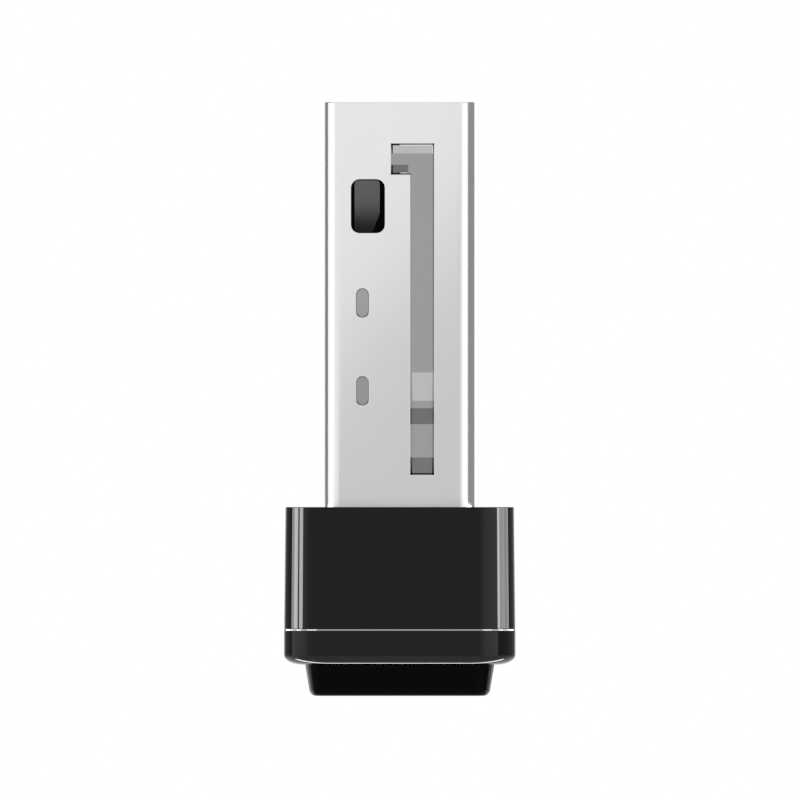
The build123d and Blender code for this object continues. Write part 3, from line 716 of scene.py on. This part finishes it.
def cap_rings():
    """Rings of the cap: out across the flat end, round its edge, up the tapered side, in to the
    neck, up and over it, and down the hollow to the floor."""
    def side(inset, z):
        """The cap's outline under the ring, moved inwards by inset, at a height."""
        return rounded_loop(cap_half_x - inset, cap_half_y - inset, cap_corner - inset, z)

    lift = cap_round * (1 - np.sin(cap_draft))
    wall_inset = (ring_bottom_z - lift) * np.tan(cap_draft)
    rings = []
    centre_inset = wall_inset + cap_round * np.cos(cap_draft)
    for angle in np.linspace(np.pi / 2, cap_draft, 10):
        rings.append(side(centre_inset - cap_round * np.cos(angle), cap_round * (1 - np.sin(angle))))
    rings.append(side(wall_inset * 0.95, ring_bottom_z - (ring_bottom_z - lift) * 0.95))
    rings.append(side(0, ring_bottom_z))
    neck = (ring_bore_x - slip, ring_bore_y - slip, ring_bore_corner - slip)
    rings.append(rounded_loop(*neck, ring_bottom_z))
    rings.append(rounded_loop(*neck, neck_top_z))
    core = (neck[0] - neck_wall, neck[1] - neck_wall, core_corner)
    rings.append(rounded_loop(*core, neck_top_z))
    rings.append(rounded_loop(*core, cap_floor_z))
    return loft(rings, ends="closed")


smoked = moulded_black("smoked_plastic", (0.0002, 0.0002, 0.0002), 0.05, 0.1, 5000.0, 0.0003 * MM, 1.12)
cap = mesh_piece("smoked_cap", cap_rings())
cap.data.materials.append(smoked)
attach(cap, "root")
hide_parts("end_cap")


# ---- stage ----
# A pale floor in a white room. The surround is a soft studio: bright panels to the left and right,
# grey behind them, a pale ground and a dim ceiling. Every lamp shines on one piece alone.
frame_wide = 24.02 * MM
view_height = 8.885 * MM
view_aside = 0.008 * MM
view_far = 350 * MM
camera = bpy.data.objects.new("camera", bpy.data.cameras.new("camera"))
camera.location = (view_aside, -view_far, view_height)
camera.rotation_euler = (np.pi / 2, 0, 0)
camera.data.type = "ORTHO"
camera.data.ortho_scale = frame_wide
camera.data.clip_start = 0.01
camera.data.clip_end = 2
bpy.context.scene.collection.objects.link(camera)
bpy.context.scene.camera = camera
bpy.context.scene.view_settings.view_transform = "Standard"

floor_half = 600 * MM
floor_z = -0.001 * MM
floor_corners = [(-floor_half, -floor_half, floor_z), (floor_half, -floor_half, floor_z),
                 (floor_half, floor_half, floor_z), (-floor_half, floor_half, floor_z)]
floor = mesh_piece("floor", (np.array(floor_corners), [[0, 1, 2, 3]]), smooth=False)
floor_material, _, floor_shader, _ = surface("pale_floor")
floor_shader.inputs["Base Color"].default_value = (0.8, 0.8, 0.8, 1)
floor_shader.inputs["Roughness"].default_value = 0.9
floor_shader.inputs["Emission Color"].default_value = (1, 1, 1, 1)
floor_shader.inputs["Emission Strength"].default_value = 0.6
floor.data.materials.append(floor_material)
floor.visible_glossy = False


def studio(world, walls, ground, ceiling, overhead):
    """Brightness of the surround by direction: a list of (degrees from the front, brightness) for
    the walls, positive to the right, that turns into the ground below and the ceiling above. The
    camera itself sees plain white."""
    world.use_nodes = True
    tree = world.node_tree
    add = node_adder(tree)
    direction = add("ShaderNodeTexCoord").outputs["Generated"]
    axes = add("ShaderNodeSeparateXYZ", {"Vector": direction})
    front = add("ShaderNodeMath", {0: axes.outputs["Y"], 1: -1.0}, operation="MULTIPLY")
    turn = add("ShaderNodeMath", {0: axes.outputs["X"], 1: front.outputs[0]}, operation="ARCTAN2")
    share = add("ShaderNodeMapRange", {"Value": turn.outputs[0], "From Min": -np.pi, "From Max": np.pi})
    ramp = add("ShaderNodeValToRGB", {"Fac": share.outputs[0]})
    stops = ramp.color_ramp.elements
    brightest = max(value for angle, value in walls)
    for index, (angle, value) in enumerate(walls):
        place = angle / 360 + 0.5
        stop = stops[index] if index < 2 else stops.new(place)
        stop.position = place
        stop.color = (value / brightest, value / brightest, value / brightest, 1)
    level = add("ShaderNodeMath", {0: ramp.outputs["Color"], 1: brightest}, operation="MULTIPLY")
    down = add("ShaderNodeMapRange", {"Value": axes.outputs["Z"], "From Min": -0.10, "From Max": -0.40,
                                      "To Min": 0.0, "To Max": 1.0})
    up = add("ShaderNodeMapRange", {"Value": axes.outputs["Z"], "From Min": 0.12, "From Max": 0.38,
                                    "To Min": 0.0, "To Max": 1.0})
    level = add("ShaderNodeMix", {"Factor": down.outputs[0], "A": level.outputs[0], "B": ground})
    level = add("ShaderNodeMix", {"Factor": up.outputs[0], "A": level.outputs[0], "B": ceiling})
    zenith = add("ShaderNodeMapRange", {"Value": axes.outputs["Z"], "From Min": 0.78, "From Max": 0.88,
                                        "To Min": 0.0, "To Max": 1.0})
    level = add("ShaderNodeMix", {"Factor": zenith.outputs[0], "A": level.outputs[0], "B": overhead})
    seen = add("ShaderNodeLightPath").outputs["Is Camera Ray"]
    level = add("ShaderNodeMix", {"Factor": seen, "A": level.outputs[0], "B": 1.0})
    background = tree.nodes["Background"]
    background.inputs["Color"].default_value = (1, 1, 1, 1)
    tree.links.new(level.outputs[0], background.inputs["Strength"])


bpy.context.scene.world = bpy.data.worlds.new("studio")
studio(bpy.context.scene.world,
       walls=[(-180, 0.70), (180, 0.70), (-152, 0.70), (-148, 0.25), (-104, 0.25), (-100, 1.30),
              (-57, 1.30), (-36, 0.70), (0, 0.66), (3, 0.68), (21, 1.25), (63, 1.6), (64.5, 0.32),
              (148, 0.32), (152, 0.70)],
       ground=1.05, ceiling=0.33, overhead=1.3)


def soft_box(name, place, aim, wide, high, radiance, roll=0.0, only=None):
    """A rectangular soft box that faces a point, with an even brightness over its face. It can be
    rolled about its own axis, and can be kept to a few pieces."""
    light = bpy.data.lights.new(name, "AREA")
    light.shape = "RECTANGLE"
    light.size = wide * MM
    light.size_y = high * MM
    light.energy = np.pi * radiance * light.size * light.size_y
    lamp = bpy.data.objects.new(name, light)
    lamp.location = Vector(place) * MM
    facing = (Vector(aim) * MM - lamp.location).to_track_quat("-Z", "Y")
    lamp.rotation_mode = "QUATERNION"
    lamp.rotation_quaternion = facing @ Quaternion((0, 0, 1), np.radians(roll))
    lamp.visible_camera = False
    bpy.context.scene.collection.objects.link(lamp)
    if only:
        receivers = bpy.data.collections.new(name + "_pieces")
        for piece in only:
            receivers.objects.link(piece)
        lamp.light_linking.receiver_collection = receivers


def far_light(name, turn, rise, radiance, aim, only):
    """A soft box at arm's length that fills the given angles as seen from a point: turn is its two
    sides, in degrees to the right of the front, and rise its foot and head, above the level."""
    reach = 100
    side = np.radians(sum(turn) / 2)
    lift = np.radians(sum(rise) / 2)
    wide = 2 * reach * np.tan(np.radians(turn[1] - turn[0]) / 2)
    high = 2 * reach * np.tan(np.radians(rise[1] - rise[0]) / 2)
    towards = np.array([np.sin(side) * np.cos(lift), -np.cos(side) * np.cos(lift), np.sin(lift)])
    soft_box(name, tuple(np.array(aim) + reach * towards), aim, wide, high, radiance, only=only)


left_corner, right_corner = (-3.1, -7.1, 3.8), (3.1, -7.1, 3.8)
far_light("left_strip_front", (-72.8, -59.5), (-8, 24), 15.5, left_corner, [sleeve])
far_light("left_strip_middle", (-94, -78.5), (-8, 24), 15, left_corner, [sleeve])
far_light("left_strip_rear", (-107, -94), (-8, 24), 6, left_corner, [sleeve])
far_light("right_strip_edge", (62.5, 71), (-8, 24), 20, right_corner, [sleeve])
far_light("right_strip_middle", (71, 92), (-8, 24), 9.8, right_corner, [sleeve])
far_light("right_strip_rear", (92, 111), (-8, 24), 6.5, right_corner, [sleeve])
far_light("left_rim", (-150, -98), (-35, 15), 4.8, (-2.3, -6.3, 0.5), [cap])
far_light("right_rim", (99, 150), (-35, 15), 3.4, (2.3, -6.3, 0.5), [cap])
far_light("seam_front", (-35, 35), (40, 66), 14, (0, -7.5, 2), [ring])
far_light("seam_left", (-90, -35), (30, 62), 18, (-3.1, -7.1, 2), [ring])
far_light("seam_left_rear", (-150, -90), (12, 50), 18, (-3.1, -7.1, 2), [ring])
far_light("seam_right", (35, 90), (30, 62), 18, (3.1, -7.1, 2), [ring])
far_light("seam_right_rear", (90, 150), (12, 50), 18, (3.1, -7.1, 2), [ring])
soft_box("table_light", (0, 42.6, -85.6), (0, -7.35, 1), 160, 24, 14, only=[ring])
soft_box("face_glow", (-21.3, -36, 33.3), (-21.3, 0, 33.3), 60, 60, 0.32, roll=45, only=[shell])
soft_box("window_glow", (-1, -16, 15.5), (-1, -6, 15.5), 2.6, 2, 36, only=[nodes["contact_carrier"]])
